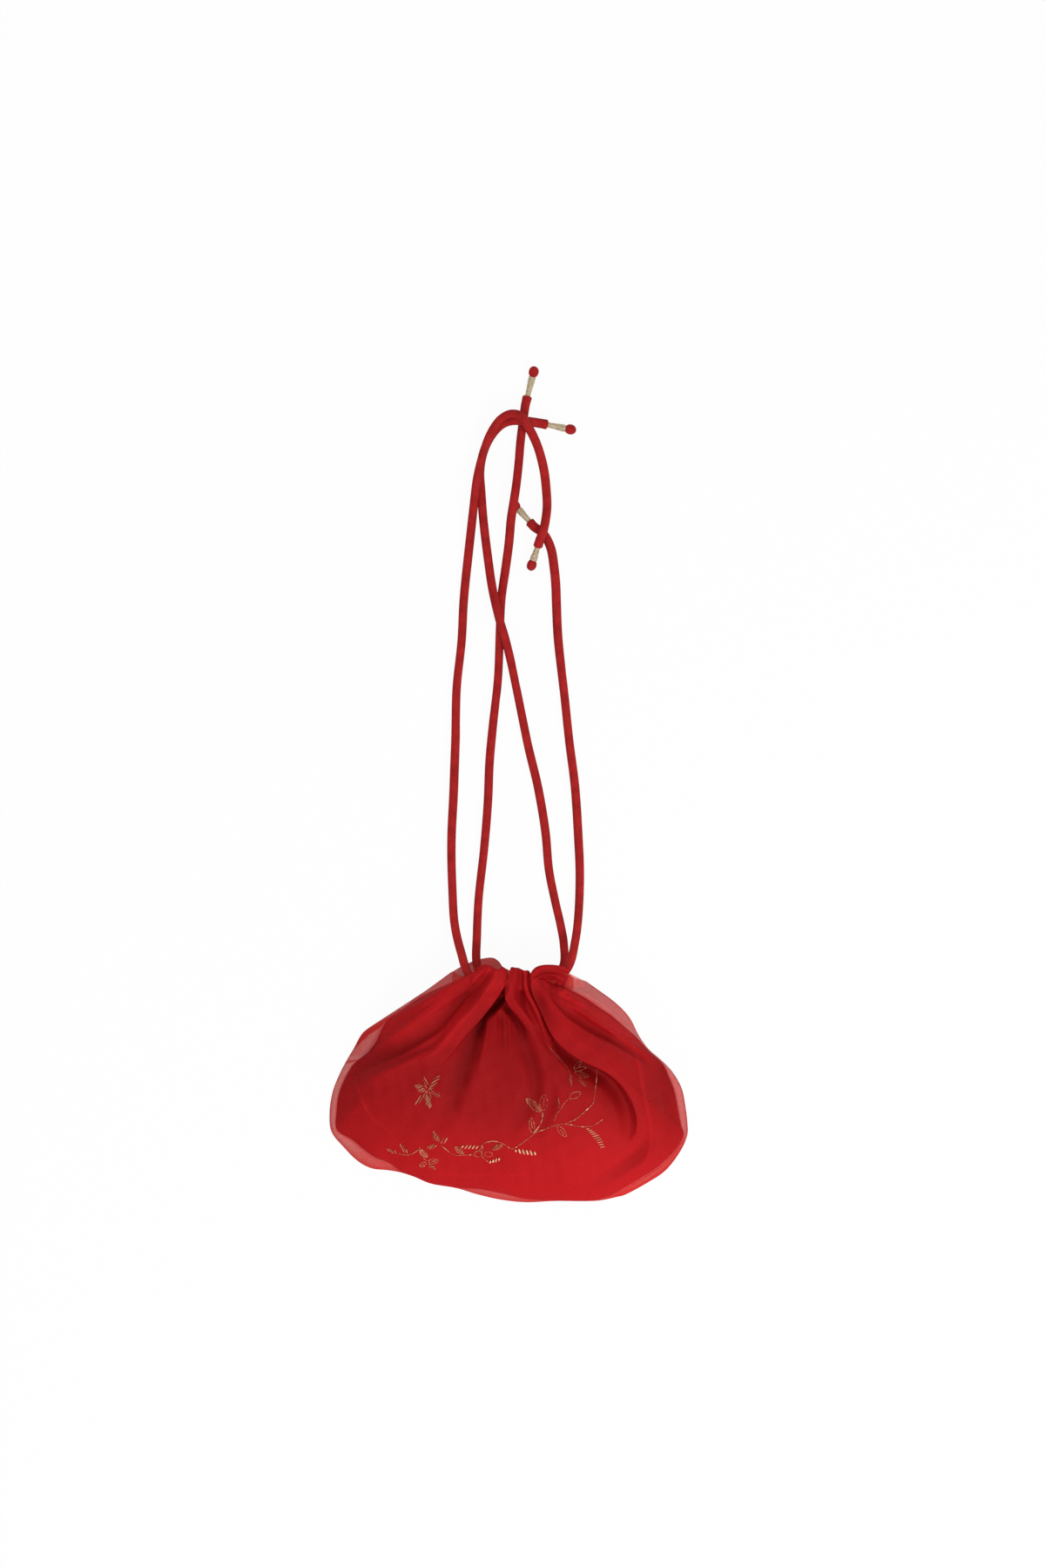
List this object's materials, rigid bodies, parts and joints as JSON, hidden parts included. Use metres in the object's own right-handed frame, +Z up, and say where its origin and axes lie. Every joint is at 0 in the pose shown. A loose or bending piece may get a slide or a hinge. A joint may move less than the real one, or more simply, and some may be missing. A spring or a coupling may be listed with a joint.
{
  "type": "potli bag",
  "caption": "Gathered drawstring pouch of sheer organza over an opaque lining, with floral metal-thread embroidery and fabric cords ending in bound, knobbed tips.",
  "frame": {"origin": "on the surface that the pouch lies on, under the middle of the cloth pouch's box", "axes": "+Z up from the surface, out of the embroidered front; +Y along the bag towards its mouth and cords; +X across the bag, to the right seen from the front"},
  "size_m": [0.226, 0.5279, 0.0367],
  "materials": {
    "organza": "sheer crisp weave",
    "lining": "opaque satin weave",
    "cord_cloth": "matt rolled cloth tube",
    "gold_thread": "wound metallic thread",
    "copper_wire": "coiled copper embroidery wire"
  },
  "bodies": {
    "root": {"organza_front": "organza", "organza_back": "organza", "lining_front": "lining", "lining_back": "lining", "front_drawstring": "cord_cloth", "back_drawstring": "cord_cloth", "front_left_binding": "gold_thread", "front_right_binding": "gold_thread", "back_left_binding": "gold_thread", "back_right_binding": "gold_thread", "flower_petal_1": "copper_wire", "flower_petal_2": "copper_wire", "flower_petal_3": "copper_wire", "flower_petal_4": "copper_wire", "flower_petal_5": "copper_wire", "flower_petal_6": "copper_wire", "vine_leaf_1": "copper_wire", "vine_leaf_2": "copper_wire", "vine_leaf_3": "copper_wire", "vine_leaf_4": "copper_wire", "vine_leaf_5": "copper_wire", "vine_leaf_6": "copper_wire", "vine_leaf_7": "copper_wire", "vine_leaf_8": "copper_wire", "vine_leaf_9": "copper_wire", "vine_leaf_10": "copper_wire", "vine_leaf_11": "copper_wire", "vine_leaf_12": "copper_wire", "bud_petal_1": "copper_wire", "bud_petal_2": "copper_wire", "low_petal_1": "copper_wire", "low_petal_2": "copper_wire", "low_petal_3": "copper_wire", "wheat_ear_1": "copper_wire", "wheat_ear_2": "copper_wire", "wheat_ear_3": "copper_wire", "wheat_ear_4": "copper_wire", "diamond_petal_1": "copper_wire", "diamond_petal_2": "copper_wire", "high_leaf_1": "copper_wire", "high_leaf_2": "copper_wire", "high_petal_1": "copper_wire", "high_petal_2": "copper_wire", "high_petal_3": "copper_wire", "vine_stem": "copper_wire", "vine_tail": "copper_wire", "low_stalk": "copper_wire", "diamond_stalk": "copper_wire", "leaf_pair_stalk": "copper_wire", "side_stem": "copper_wire", "beaded_branch": "copper_wire", "high_stem": "copper_wire", "flower_eye": "copper_wire"}
  },
  "joints": []
}
